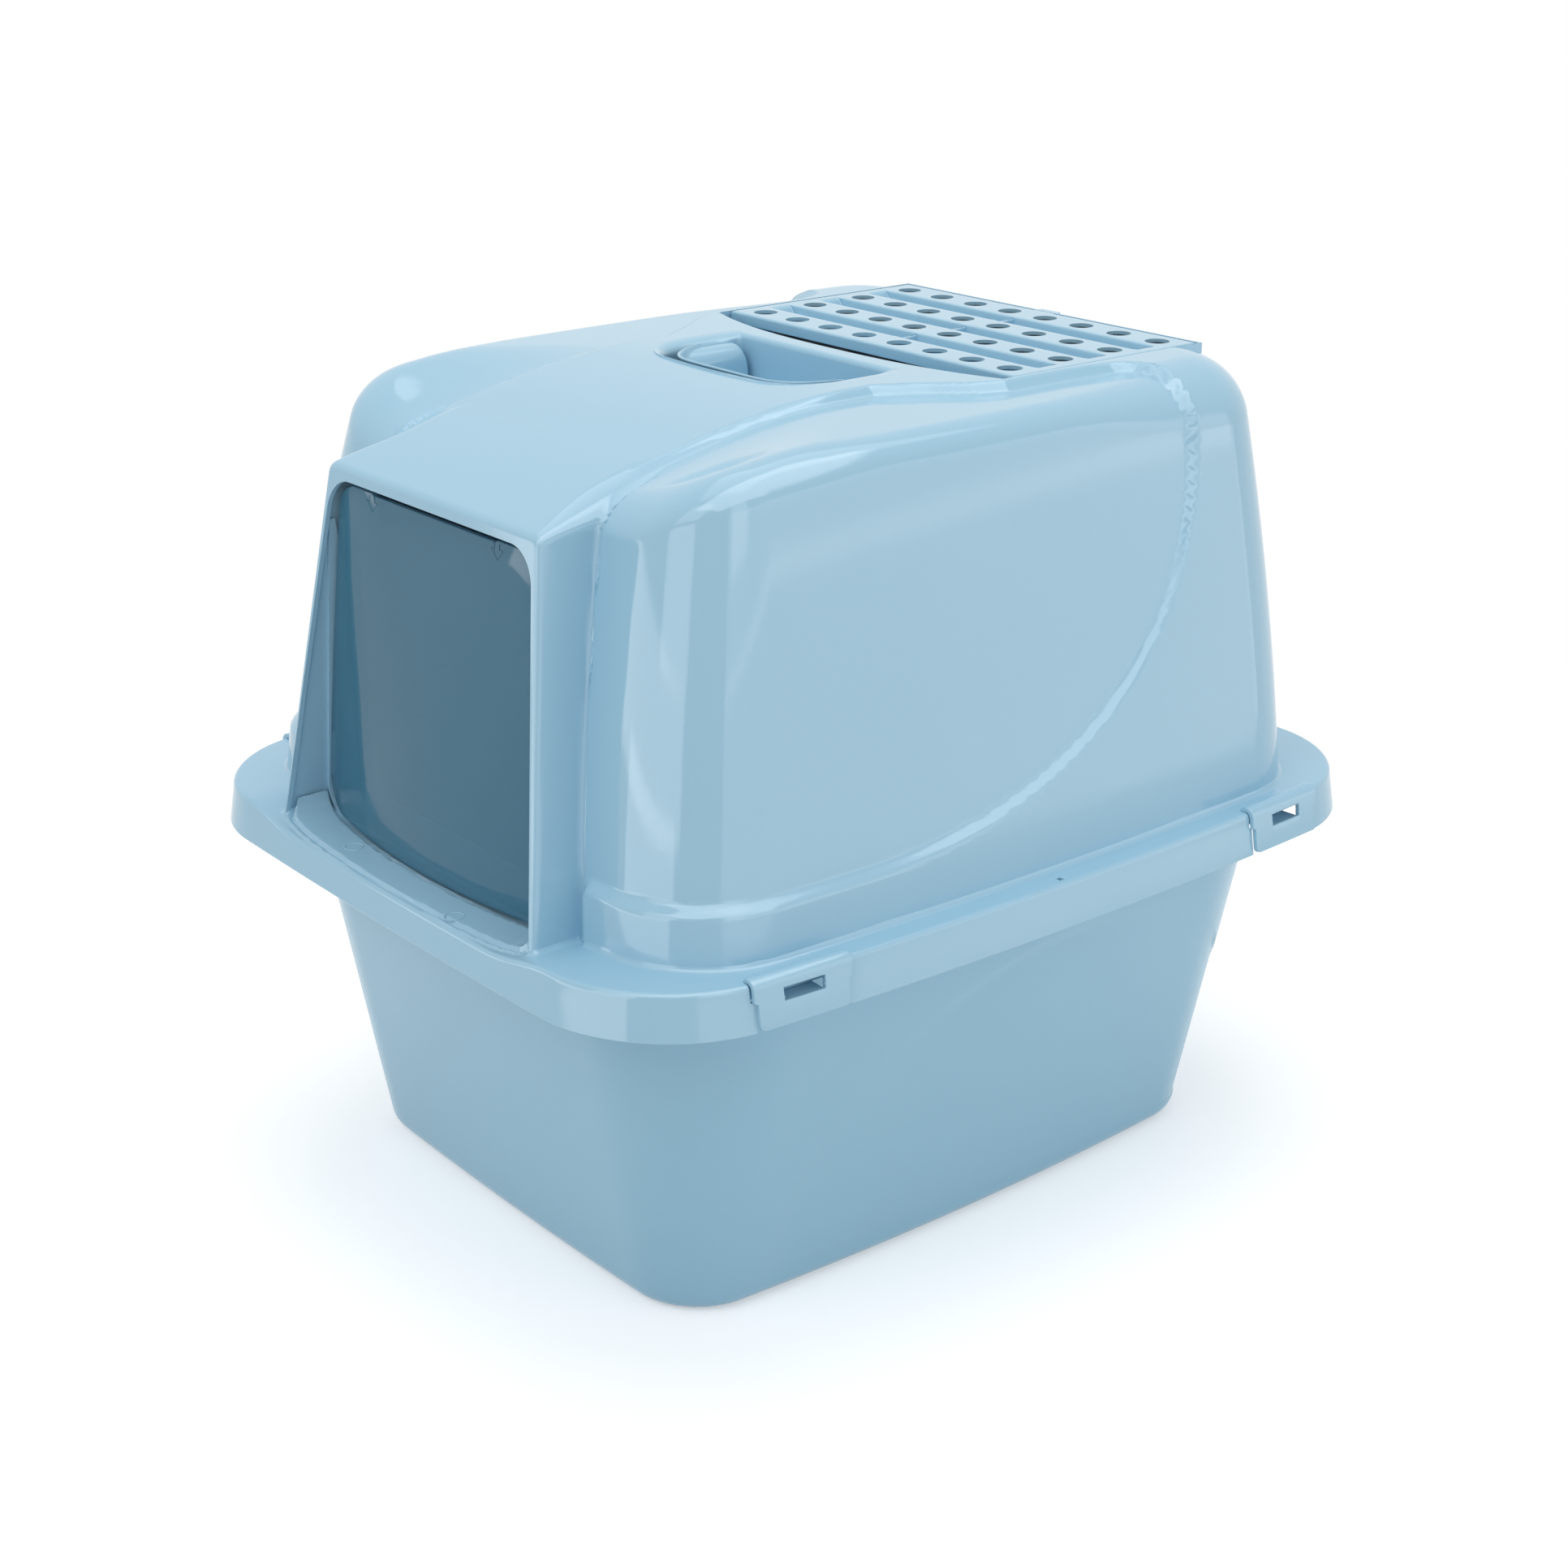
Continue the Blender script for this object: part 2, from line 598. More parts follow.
def make_rim():
    """Hood's flange and skirt as one closed ring. Along each ray from the middle it runs out over the
    flange, turns down a rounded edge, flares down the skirt and comes back inside. Small coves, the
    sill pad and a bead ahead of it are added as heights."""
    xs, ys, _ = front_lines()
    ways = ways_round(xs, ys)
    start = ring_out(lambda x, y: walls_form(x, y, np.full_like(x, FLANGE + 1)) + 2.0, ways)
    edge = ring_out(lambda x, y: rim_form(x, y, 3.3), ways)
    foot = ring_out(lambda x, y: rim_form(x, y, 0.0), ways)
    turn = 3.0
    reach = edge - turn - start
    near = np.linspace(0, 7.0, 15)[:, None] + 0 * start
    far = 7.0 + (reach - 7.0) * np.linspace(0, 1, 34)[1:, None]
    radius = start + np.concatenate([near, far])
    x, y = radius * ways[:, 0], radius * ways[:, 1]
    level = rim_level(x, y)
    walls = hood_form(x, y, level + 3)
    walls = np.where(y < -200, np.maximum(walls, porch_half(level) - 3.0 - np.abs(x)), walls)
    cove = 3.2
    rise = cove - np.sqrt(np.maximum(cove ** 2 - np.clip(cove - walls, 0, cove) ** 2, 0))
    rise = np.where(walls < -1.5, 0, rise)
    pad = sill_form(x, y)
    turned_up = 12.0 - np.sqrt(144.0 - np.clip(np.abs(x) - 105.5, 0, 11.5) ** 2)
    height = level + rise + (2.0 + turned_up) * ease(0.5 - pad / 1.6)
    bead = np.abs(pad - 3.2)
    height = height + 1.1 * ease(1 - bead / 1.6) * ease((-y - 235) / 10) * ease((122 - np.abs(x)) / 10)
    rows = [np.stack([x, y, height], -1)]
    angles = np.radians(np.array([15, 30, 45, 60, 75, 90]))
    top = rim_level(*((edge - turn) * ways[:, :2].T))
    for a in angles:
        r = edge - turn + turn * math.sin(a)
        rows.append(np.stack([r * ways[:, 0], r * ways[:, 1], top - turn * (1 - math.cos(a))], -1)[None])
    for t in (0.25, 0.5, 0.75, 1.0):
        r = edge + (foot - edge) * t
        z = (top - turn) + (SKIRT_LOW + 0.7 - (top - turn)) * t
        rows.append(np.stack([r * ways[:, 0], r * ways[:, 1], z], -1)[None])
    inner = edge - 2.9
    for r, z in (
        (foot - 0.25, SKIRT_LOW + 0.15 + 0 * foot), (foot - 0.8, SKIRT_LOW + 0 * foot),
        (foot - 1.9, SKIRT_LOW + 0 * foot), (foot - 2.6, SKIRT_LOW + 0.7 + 0 * foot), (inner, top - turn),
        (inner - 1, top - 2.8), (start + 3, top - 2.8),
        (start, top - 2.8),
    ):
        rows.append(np.stack([r * ways[:, 0], r * ways[:, 1], z], -1)[None])
    grid = np.concatenate(rows)
    low_start = rim_level(grid[0, :, 0], grid[0, :, 1]) - 2.8
    grid[-1, :, 2] = low_start
    quads = grid_faces(grid.shape[0], grid.shape[1], wrap=True, flip=True)
    last = np.arange(grid.shape[1])
    nxt = (last + 1) % grid.shape[1]
    base = (grid.shape[0] - 1) * grid.shape[1]
    quads = np.concatenate([quads, np.stack([last, nxt, nxt + base, last + base], -1)])
    rim = hood_piece("hood_rim", grid.reshape(-1, 3), quads)
    with_normals_out(rim)
    cut(rim, *[latch_notch(name) for name in LATCHES], *[drain_hole(s) for s in (-1, 1)])
    sharp(rim, 30)
    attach(rim, "box")
    return rim


LATCHES = {
    "latch_front_right": (1, -1), "latch_rear_right": (1, 1),
    "latch_front_left": (-1, -1), "latch_rear_left": (-1, 1),
}


def latch_frame(name):
    """A latch's own place: a point on the rim's lower outline, and the directions out and along."""
    side, end = LATCHES[name]
    y = 174.0 * end
    x = side * (RIM_HALF - RIM_BOW * (y / RIM_LONG) ** 2)
    lean = math.atan(2 * RIM_BOW * y / RIM_LONG ** 2) * side
    out = np.array([side * math.cos(lean), side * math.sin(lean)])
    along = np.array([-out[1], out[0]])
    return np.array([x, y]), out, along


def placed(name, local):
    """Points given as out, along and height beside a latch, in the object's frame."""
    where, out, along = latch_frame(name)
    plan = where + local[..., :1] * out + local[..., 1:2] * along
    return np.concatenate([plan, local[..., 2:3]], -1)


def latch_notch(name):
    """What the rim loses at a latch: wider above its shoulders."""
    outline = np.array([
        (27.6, 190), (27.6, 214.8), (29.6, 215.4), (29.6, 235),
        (-29.6, 235), (-29.6, 215.4), (-27.6, 214.8), (-27.6, 190),
    ])
    points, faces = prism(outline, -9.3, 20.0, axis=0)
    return placed(name, points), faces


def drain_hole(side):
    """Small square hole in a side flange."""
    square = np.array([(-1.5, -1.5), (1.5, -1.5), (1.5, 1.5), (-1.5, 1.5)])
    return prism(square + [side * 222.5, 0], 215.0, 230.0)


def make_latch(name):
    """Latch flap with its hook: a sheet that turns up from its inner edge, runs along the flange, round
    the rim's edge and down to its foot. It is wider above two shoulders and has a finger slot."""
    turn = 3.0
    path = [(-8.15, 222.0), (-7.9, 222.9), (-7.3, 223.55)] + [(-3.3 - turn - d, FLANGE) for d in (0.5, 0.1)]
    path += [
        (-3.3 - turn + turn * math.sin(a), FLANGE - turn * (1 - math.cos(a)))
        for a in np.radians(np.linspace(0, 90, 7))
    ]
    drop = np.concatenate([
        np.linspace(FLANGE - turn, 219.6, 3)[1:],
        [219.4, 217, 215.2, 214.7, 213, 212.7, 210, 206, 203.2, 202.2, 201.4, 201.0],
    ])
    path += [(-3.3 * (z - SKIRT_LOW) / (FLANGE - turn - SKIRT_LOW), z) for z in drop]
    path = np.array(path)
    across = np.concatenate([
        -np.linspace(1, 0.47, 9), [-0.4445], np.linspace(-0.42, 0.42, 13), [0.4445], np.linspace(0.47, 1, 9),
    ])
    s, a = np.meshgrid(np.arange(len(path)), across, indexing="ij")
    out, z = path[s, 0], path[s, 1]
    wide = np.where(z > 214.95, 29.0, 27.0)
    corner = np.clip((204.0 - z) / 3.0, 0, 1)
    wide = wide - 3.0 * (1 - np.sqrt(1 - np.minimum(corner, 0.999) ** 2))
    bow = -0.000185 * (a * wide) ** 2
    grid = np.stack([out + bow - 0.05, a * wide, z], -1)
    quads = grid_faces(*s.shape)
    middle = grid.reshape(-1, 3)[quads].mean(1)
    slot = (np.abs(middle[:, 1]) < 12.0) & (middle[:, 2] < 219.5) & (middle[:, 2] > 212.6)
    obj = hood_piece(name + "_flap", placed(name, grid.reshape(-1, 3)), quads[~slot])
    thick = obj.modifiers.new("wall", "SOLIDIFY")
    thick.thickness = 2.6 * MM
    thick.offset = -1
    thick.use_even_offset = True
    soft = obj.modifiers.new("edge", "BEVEL")
    soft.width = 0.45 * MM
    soft.segments = 2
    soft.limit_method = "ANGLE"
    soft.angle_limit = math.radians(40)
    settle(obj)
    sharp(obj, 35)
    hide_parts(name)
    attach(obj, name + "_flap")
    section = [(-12.0, 210.1), (-2.4, 210.1), (-2.4, 212.6), (-12.0, 212.6)]
    points, faces = prism(section, -11.8, 11.8, axis=1)
    hook = with_normals_out(hood_piece(name + "_hook", placed(name, points), faces))
    sharp(hook, 30)
    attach(hook, name + "_flap")
    return obj


def pan_plan(x, y, z, inset):
    """Pan's outline in plan at a height: it widens upwards, and its corners grow rounder."""
    return plan_form(
        x, y, 163 + 0.22 * z - inset, 199.7 + 0.165 * z - inset, 199.7 + 0.165 * z - inset, 8.8 + 0.021 * z, 3.9,
        38 + 0.2 * z - inset,
    )


def pan_line(y, z):
    """Signed distance from the faint moulded line that sweeps up the pan's side: a quarter ellipse."""
    a, b = (y - 40) / 186, (z - 11) / 166
    ring = np.hypot(a, b)
    return (1 - ring) / (np.hypot(a / 186, b / 166) / np.maximum(ring, 1e-6))


def make_pan():
    """Pan as one closed skin. Each row is the outline at one height, from the middle of the foot out,
    round the foot's edge, up the flared wall, over the rim and down inside to the middle of the floor."""
    xs, ys, _ = front_lines()
    ways = ways_round(xs[::2], ys[::2])
    rows = []
    foot = 10.0

    def row(z, inset, shrink=1.0, line=False):
        level = np.full(len(ways), float(z))
        radius = ring_out(lambda x, y: pan_plan(x, y, level, inset), ways) * shrink
        if line:
            y = radius * ways[:, 1]
            radius = radius - 0.9 * ease(pan_line(y, level) / 1.6 + 0.5) * (np.abs(ways[:, 0]) > 0.3)
        rows.append(np.stack([radius * ways[:, 0], radius * ways[:, 1], level], -1))

    row(0.0, foot, 0.002)
    row(0.0, foot, 0.5)
    row(0.0, foot + 0.5)
    for a in np.radians(np.linspace(0, 90, 9)):
        row(foot * (1 - math.cos(a)), foot * (1 - math.sin(a)))
    for z in np.linspace(foot, 214, 70)[1:]:
        row(z, 0.0, line=True)
    rim = ring_out(lambda x, y: rim_form(x, y, 10.0), ways)
    mouth = ring_out(lambda x, y: pan_plan(x, y, np.full_like(x, 218.0), 0.0), ways)
    for r, z in (
        (mouth, 218.4), (rim - 2.6, 218.2), (rim - 2.2, 213.0), (rim, 213.0), (rim, 219.0), (rim - 1, 220.8),
    ):
        x, y = r * ways[:, 0], r * ways[:, 1]
        rows.append(np.stack([x, y, z - FLANGE + rim_level(x, y)], -1))
    inner = mouth - 1.5
    x, y = inner * ways[:, 0], inner * ways[:, 1]
    rows.append(np.stack([x, y, 220.8 - FLANGE + rim_level(x, y)], -1))
    for z in np.linspace(212, foot, 26):
        row(z, SHELL)
    for a in np.radians(np.linspace(90, 0, 6)):
        row(SHELL + (foot - SHELL) * (1 - math.cos(a)), SHELL + (foot - SHELL) * (1 - math.sin(a)))
    row(SHELL, foot, 0.5)
    row(SHELL, foot, 0.002)
    grid = np.stack(rows)
    quads = grid_faces(grid.shape[0], grid.shape[1], wrap=True)
    n = grid.shape[1]
    caps = [np.arange(n)[::-1].tolist(), (np.arange(n) + (grid.shape[0] - 1) * n).tolist()]
    pan = piece("litter_pan_skin", grid.reshape(-1, 3), [*quads.tolist(), *caps], pan_plastic)
    with_normals_out(pan)
    sharp(pan, 40)
    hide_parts("litter_pan")
    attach(pan, "box")
    return pan


def door_face(x, z):
    """Front face of the door: flat at its top, bowed out towards its foot to follow the sill pad."""
    share = np.clip((409.0 - z) / 189.0, 0, 1) ** 1.3
    return -228.0 + share * (sill_line(x) + 229.0)


def make_door():
    """Flap door: a plate with a soft edge whose outline tapers upwards. It is flat at the top and bows
    forward towards its foot, and its top edge steps down a little between two moulded arrows."""
    low, high = 220.0, 409.0
    side_low, side_high = porch_half(low) - 5.8, porch_half(high) - 5.8
    lean = math.degrees(math.atan(PORCH_NARROWS))
    foot = arc((side_low - 20.5, low + 20.0), 20.0, -90, lean, 14)
    head = arc((side_high - 17.6, high - 18.0), 18.0, lean, 90, 14)
    flank = np.linspace(foot[-1], head[0], 26)[1:-1]
    edge = np.stack([np.linspace(foot[0, 0], 0, 24), np.full(24, low)], -1)[1:-1]
    step = np.array([(58.0, high), (57.0, high - 1.1), (30.0, high - 1.1)])
    right = np.concatenate([edge[::-1], foot, flank, head, step])
    outline = np.concatenate([right, [(0, high - 1.1)], right[::-1] * [-1, 1], [(0, low)]])
    n = len(outline)
    ahead = np.roll(outline, -1, 0) - np.roll(outline, 1, 0)
    out = np.stack([ahead[:, 1], -ahead[:, 0]], -1) / np.linalg.norm(ahead, axis=1, keepdims=True)
    middle = np.array([0.0, 312.0])
    rings = [(k, 0.7, 0.0) for k in (0.04, 0.3, 0.6, 0.85, 1.0)]
    rings += [(1.0, 0.25, 0.15), (1.0, 0.0, 0.6), (1.0, 0.0, 2.4), (1.0, 0.25, 2.85)]
    rings += [(k, 0.7, 3.0) for k in (1.0, 0.85, 0.6, 0.3, 0.04)]
    rows = []
    for scale, inset, back in rings:
        at = middle + (outline - out * inset - middle) * scale
        rows.append(np.stack([at[:, 0], door_face(at[:, 0], at[:, 1]) + back, at[:, 1]], -1))
    grid = np.stack(rows)
    caps = [np.arange(n)[::-1].tolist(), (np.arange(n) + (len(rings) - 1) * n).tolist()]
    faces = [*grid_faces(len(rings), n, wrap=True).tolist(), *caps]
    door = piece("entry_door_plate", grid.reshape(-1, 3), faces, door_plastic)
    with_normals_out(door)
    sharp(door, 20)
    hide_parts("entry_door")
    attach(door, "door")
    line = np.array([
        (2.3, 407.6), (2.3, 404.4), (5.0, 404.6), (0.0, 399.2), (-5.0, 404.6), (-2.3, 404.4), (-2.3, 407.6),
    ])
    along = np.gradient(line, axis=0)
    aside = np.stack([along[:, 1], -along[:, 0]], -1) / np.linalg.norm(along, axis=1, keepdims=True)
    ridge = [(0.45, 0.05), (0.30, -0.35), (-0.30, -0.35), (-0.45, 0.05)]
    for name, centre in (("entry_door_arrow_left", -58.0), ("entry_door_arrow_right", 58.0)):
        at = np.stack([line + aside * across for across, _ in ridge])
        x = at[..., 0] + centre
        y = door_face(x, at[..., 1]) + np.array([rise for _, rise in ridge])[:, None]
        grid = np.stack([x, y, at[..., 1]], -1)
        ends = [[0, 7, 14, 21], [27, 20, 13, 6]]
        wrap = [[a, a + 1, a + 22, a + 21] for a in range(6)]
        faces = [*grid_faces(4, 7).tolist(), *wrap, *ends]
        mark = piece(name, grid.reshape(-1, 3), faces, door_plastic)
        with_normals_out(mark)
        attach(mark, "door")
    return door


def make_cover():
    """Filter cover: a slatted sheet. A profile of four flat slats with soft edges and three troughs runs
    across; the troughs' ends slope up to the border and a thin rib crosses them in the middle."""
    base, top = 451.6, ROOF
    r = 1.3
    profile = [(57.9, 453.9), (57.3, 454.1), (57.0, 454.7), (57.0, top - r)]

    def turned(y, way):
        bends = np.radians([15, 30, 50, 70, 90])
        return [(y + way * r * (1 - math.cos(a)), top - r + r * math.sin(a)) for a in bends]

    edges = [(57.0, 81.8), (95.9, 119.9), (134.0, 158.0), (172.1, 198.0)]
    for k, (a, b) in enumerate(edges):
        profile += turned(a, 1)
        profile += [(y, top) for y in np.linspace(a + r, b - r, 9)[1:-1]]
        profile += turned(b, -1)[::-1]
        if k < 3:
            profile += [(b, base + 1.5), (b + 0.4, base + 0.4), (b + 1.5, base)]
            profile += [(y, base) for y in np.linspace(b + 1.5, edges[k + 1][0] - 1.5, 4)[1:]]
            profile += [(edges[k + 1][0] - 0.4, base + 0.4), (edges[k + 1][0], base + 1.5)]
    profile += [(198.0, 453.0), (198.0, 449.0)]
    profile = np.array(profile)
    half = steps([0.0, 0.6, 1.2, 104.5, 112.5, 118.2, 119.5], [2, 2, 44, 8, 3, 4])
    xs = np.concatenate([-half[:0:-1], half])
    s, x = np.meshgrid(np.arange(len(profile)), xs, indexing="ij")
    y, z = profile[s, 0], profile[s, 1]
    trough = (y > 81.0) & (y < 173.0)
    border = top - r + np.sqrt(np.maximum(r ** 2 - np.clip(np.abs(x) - 118.2, 0, r) ** 2, 0))
    ramp = ease((np.abs(x) - 104.5) / 8.0)
    rib = (np.abs(x) < 0.9) * 0.82
    lift = np.maximum(ramp, rib)
    z = np.where(trough & (z < top), z + (top - z) * lift, z)
    z = np.minimum(z, border)
    grid = np.stack([x, y, z], -1)
    quads = grid_faces(*s.shape)
    cover = hood_piece("filter_cover_slats", grid.reshape(-1, 3), quads)
    walled(cover, 2.0)
    with_normals_out(cover)
    a = np.linspace(0, 2 * math.pi, 37)[:-1]
    circle = np.stack([np.cos(a), np.sin(a)], -1) * 7.0
    holes = []
    for k, y0 in enumerate((69.8, 107.9, 146.0, 184.1)):
        for j in range(8):
            holes.append(prism(circle + [(j - 3.5) * 29.4, y0], 440.0, 470.0))
    count = len(circle) * 2
    points = np.concatenate([p for p, _ in holes])
    faces = [[i + k * count for i in f] for k, (_, fs) in enumerate(holes) for f in fs]
    cut(cover, (points, faces))
    sharp(cover, 30)
    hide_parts("filter_cover")
    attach(cover, "cover")
    outline = np.concatenate([
        [(8.0, 197.0)], arc((6.5, 203.0), 1.5, 0, 90, 5), arc((-6.5, 203.0), 1.5, 90, 180, 5), [(-8.0, 197.0)]
    ])
    points, faces = prism(outline, 457.8, 460.3)
    tab = with_normals_out(hood_piece("filter_cover_tab", points, faces))
    sharp(tab, 30)
    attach(tab, "cover")
    return cover


def make_pocket():
    """Carry pocket: the roof rolls down into it all round, and a hand grip stands in front of a flat floor.
    The grip is a height over the floor: a thin bowed lip, and a half-round bar at each end of it."""
    outer, inner = pocket_opening(), pocket_line(62.5, -51.5, 18.4, 30.0)
    fall = 3.0 + 3.0 * ease((np.abs(outer[:, 0]) - 40.0) / 30.0) * ease((18.0 - outer[:, 1]) / 14.0)
    rows = []
    for a in np.radians(np.linspace(0, 90, 8)):
        plan = outer + (inner - outer) * math.sin(a)
        rows.append(np.insert(plan, 2, ROOF - 0.02 - fall * (1 - math.cos(a)), axis=1))
    rows += [np.insert(inner, 2, z, axis=1) for z in (451.0, 444.0, 437.0, 431.0)]
    grid = np.stack(rows)
    quads = grid_faces(len(rows), len(outer), wrap=True)
    edge = hood_piece("carry_pocket_edge", grid.reshape(-1, 3), quads)
    walled(edge, 1.8)
    sharp(edge, 40)
    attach(edge, "box")

    crest, roll, floor_level = 60.5, 10.0, 431.5
    turned = crest - roll * np.sin(np.radians(np.linspace(0, 90, 13)))
    half = np.concatenate([np.linspace(0, 48.5, 22), [50.0, 50.3], turned[::-1], [61.6, 62.4]])
    xs = np.concatenate([-half[:0:-1], half])
    lip = [
        (1.6, 456.6), (-0.3, 457.0), (-0.8, 457.5), (-0.9, 458.0), (-0.6, 458.5), (0.0, 458.7), (0.7, 458.5),
        (1.5, 457.7), (2.4, 455.5), (3.6, 450.0), (4.8, 442.0), (6.2, 435.0), (9.0, floor_level),
    ]
    bow = -43.5 + 24.0 * (np.minimum(np.abs(xs), 61.6) / 59.0) ** 6
    between = [bow + 9.0 + (1.0 - bow) * t for t in (0.3, 0.6, 0.8, 1.0)]
    behind = np.array([11.5, 12.6, 13.3, 13.7, 13.9, 14.0, 14.2, 15.5, 17.0, 18.4])
    y = np.stack([bow + d for d, _ in lip] + between + [np.full_like(bow, v) for v in behind])
    rise = np.array([level for _, level in lip] + [floor_level] * (len(y) - len(lip)))
    x = np.broadcast_to(xs, y.shape)
    side = np.abs(x)
    bar = 446.5 + np.sqrt(np.maximum(roll ** 2 - (side - crest) ** 2, 0))
    end = 4.0 - np.sqrt(np.maximum(16.0 - np.clip(y - 10.0, 0, 4) ** 2, 0))
    bar = np.where((side > 50.2) & (y < 14.1), bar - end, floor_level)
    bar[:3] = floor_level
    lipped = np.broadcast_to(rise[:, None], y.shape)
    raised = (lipped > floor_level + 1) * (bar > floor_level + 1)
    cove = np.maximum(5.0 - np.abs(lipped - bar), 0) ** 2 / 20.0 * raised
    z = np.minimum(np.maximum(lipped, bar) + cove, 458.7)
    grid = np.stack([x, y, z], -1)
    grip = hood_piece("carry_pocket_grip", grid.reshape(-1, 3), grid_faces(*y.shape))
    walled(grip, 0.6)
    sharp(grip, 45)
    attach(grip, "box")


def make_bay():
    """Filter bay under the cover: the roof's front edge turned down, upright walls, a ledge and a plain
    floor, which the pad covers."""
    front = np.linspace(-120.5, 120.5, 33)
    ring = np.concatenate([[(120.5, 199.0), (-120.5, 199.0)], np.stack([front, bay_front(front)], -1)])
    n = len(ring)
    lead = np.where(ring[:, 1] < 100, 1.0, 0.0)[:, None] * [0.0, 1.0]
    inner = ring * [0.962, 1.0]
    inner[:, 1] = np.clip(inner[:, 1], 66.0, 194.3)
    rows = []
    for a in np.radians(np.linspace(0, 90, 6)):
        rows.append(np.insert(ring + lead * 1.6 * math.sin(a), 2, ROOF - 0.02 - 1.6 * (1 - math.cos(a)), axis=1))
    turned = ring + lead * 1.6
    rows += [np.insert(turned, 2, 452.0, axis=1), np.insert(turned, 2, 444.0, axis=1)]
    rows += [np.insert(inner, 2, 444.0, axis=1), np.insert(inner, 2, 439.5, axis=1)]
    rows.append(np.insert(inner * [0.02, 0.0] + [0.0, 130.0], 2, 439.5, axis=1))
    grid = np.stack(rows)
    bay = hood_piece("filter_bay_walls", grid.reshape(-1, 3), grid_faces(len(rows), n, wrap=True))
    walled(bay, 1.8)
    sharp(bay, 35)
    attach(bay, "box")
    return bay


def felt(name):
    """Dark carbon felt: matted fibres in soft clumps."""
    f = Finish(bpy.data.materials.new(name))
    clump = f.noise(0.006, 4.0, 0.65)
    fibre = f.noise(0.0011, 6.0, 0.8, (1.0, 0.35, 1.0))
    shade = clump * 0.5 + fibre * 0.5
    return f.surface(
        Base_Color=f.blend(shade, srgb(62, 66, 69), srgb(116, 120, 122)),
        Roughness=0.95,
        Specular_IOR_Level=0.2,
        Normal=f.bump(fibre + clump * 0.6, 0.6, 0.0008),
    )


def make_filter_pad():
    """Filter pad: a flat cut felt sheet with softly rounded edges and a slightly uneven matted top."""
    across, along = 112.8, 61.1
    u = steps([-1.0, -0.97, 0.97, 1.0], [5, 90, 5])
    v = steps([-1.0, -0.95, 0.95, 1.0], [5, 52, 5])
    v, u = np.meshgrid(v, u, indexing="ij")
    near = np.minimum((1 - np.abs(u)) * across, (1 - np.abs(v)) * along)
    edge = 2.4 - np.sqrt(np.maximum(2.4 ** 2 - np.clip(2.4 - near, 0, 2.4) ** 2, 0))
    corner = 1 - 0.02 * (u * v) ** 8
    x, y = u * across * corner, 130.15 + v * along * corner
    lumps = 0.16 * (np.sin(x * 0.31 + 1.7 * np.sin(y * 0.11)) * np.sin(y * 0.27 + 1.3 * np.sin(x * 0.13)) - 1)
    top = np.stack([x, y, 446.2 + lumps - edge], -1)
    low = np.stack([x, y, 439.7 + edge * 0.6], -1)
    border = np.concatenate([
        np.arange(x.shape[1]), np.arange(1, x.shape[0]) * x.shape[1] + x.shape[1] - 1,
        (x.shape[0] - 1) * x.shape[1] + np.arange(x.shape[1] - 2, -1, -1),
        np.arange(x.shape[0] - 2, 0, -1) * x.shape[1],
    ])
    band = np.stack([border, np.roll(border, -1), np.roll(border, -1) + x.size, border + x.size], -1)
    points, quads = joined([top, low], [
        grid_faces(*x.shape), grid_faces(*x.shape, start=x.size, flip=True), band[:, ::-1]
    ])
    pad = piece("filter_pad_felt", points, quads, felt("filter_felt_matted"))
    with_normals_out(pad)
    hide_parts("filter_pad")
    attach(pad, "box")
    return pad


def make_jamb():
    """Inner frame of the doorway: a strip down one side, round the lower corner, along the sill and up
    the other side. Its rear edge runs deeper towards the bottom."""
    turn = 16.0
    low = 217.4

    def side(z):
        return porch_half(z) - 3.2

    zs = np.linspace(388.0, low + turn, 24)
    left = np.stack([-side(zs), zs], -1)
    corner = arc((-side(low + turn) + turn, low + turn), turn, 180, 270, 12)
    floor = np.stack([np.linspace(corner[-1, 0] + 4, 0, 16), np.full(16, low)], -1)
    half = np.concatenate([left, corner[1:], floor])
    path = np.concatenate([half, half[-2::-1] * [-1, 1]])
    rear = np.interp(
        path[:, 1], [214, 227, 243, 274, 319, 359, 389], [-199.5, -199.5, -204.5, -209, -215, -223, -229]
    )
    front = -PORCH_FRONT + PORCH_FRONT_LEAN * (path[:, 1] - FLANGE) + 1.5
    front = np.maximum(front, -232.5)
    share = np.linspace(0, 1, 7)
    y = front[:, None] + (rear - front)[:, None] * share
    grid = np.stack([np.repeat(path[:, :1], 7, 1), y, np.repeat(path[:, 1:], 7, 1)], -1)
    jamb = hood_piece("doorway_jamb", grid.reshape(-1, 3), grid_faces(*y.shape))
    walled(jamb, 2.0, 0)
    with_normals_out(jamb)
    sharp(jamb, 35)
    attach(jamb, "box")
    return jamb


def ring_mark(name, centre, radius, level):
    """Faint raised circle on a level face: a thin half-round ring."""
    turn = np.linspace(0, 2 * math.pi, 49)[:-1]
    across, rise = np.array([-0.5, -0.25, 0.25, 0.5, 0.0]), np.array([-0.1, 0.22, 0.22, -0.1, -0.3])
    a, k = np.meshgrid(turn, np.arange(5), indexing="ij")
    out = radius + across[k]
    points = np.stack([centre[0] + out * np.cos(a), centre[1] + out * np.sin(a), level + rise[k]], -1).reshape(-1, 3)
    i, j = np.meshgrid(np.arange(48), np.arange(5), indexing="ij")
    far, on = (i + 1) % 48, (j + 1) % 5
    quads = np.stack([i * 5 + j, far * 5 + j, far * 5 + on, i * 5 + on], -1).reshape(-1, 4)
    mark = with_normals_out(hood_piece(name, points, quads))
    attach(mark, "box")


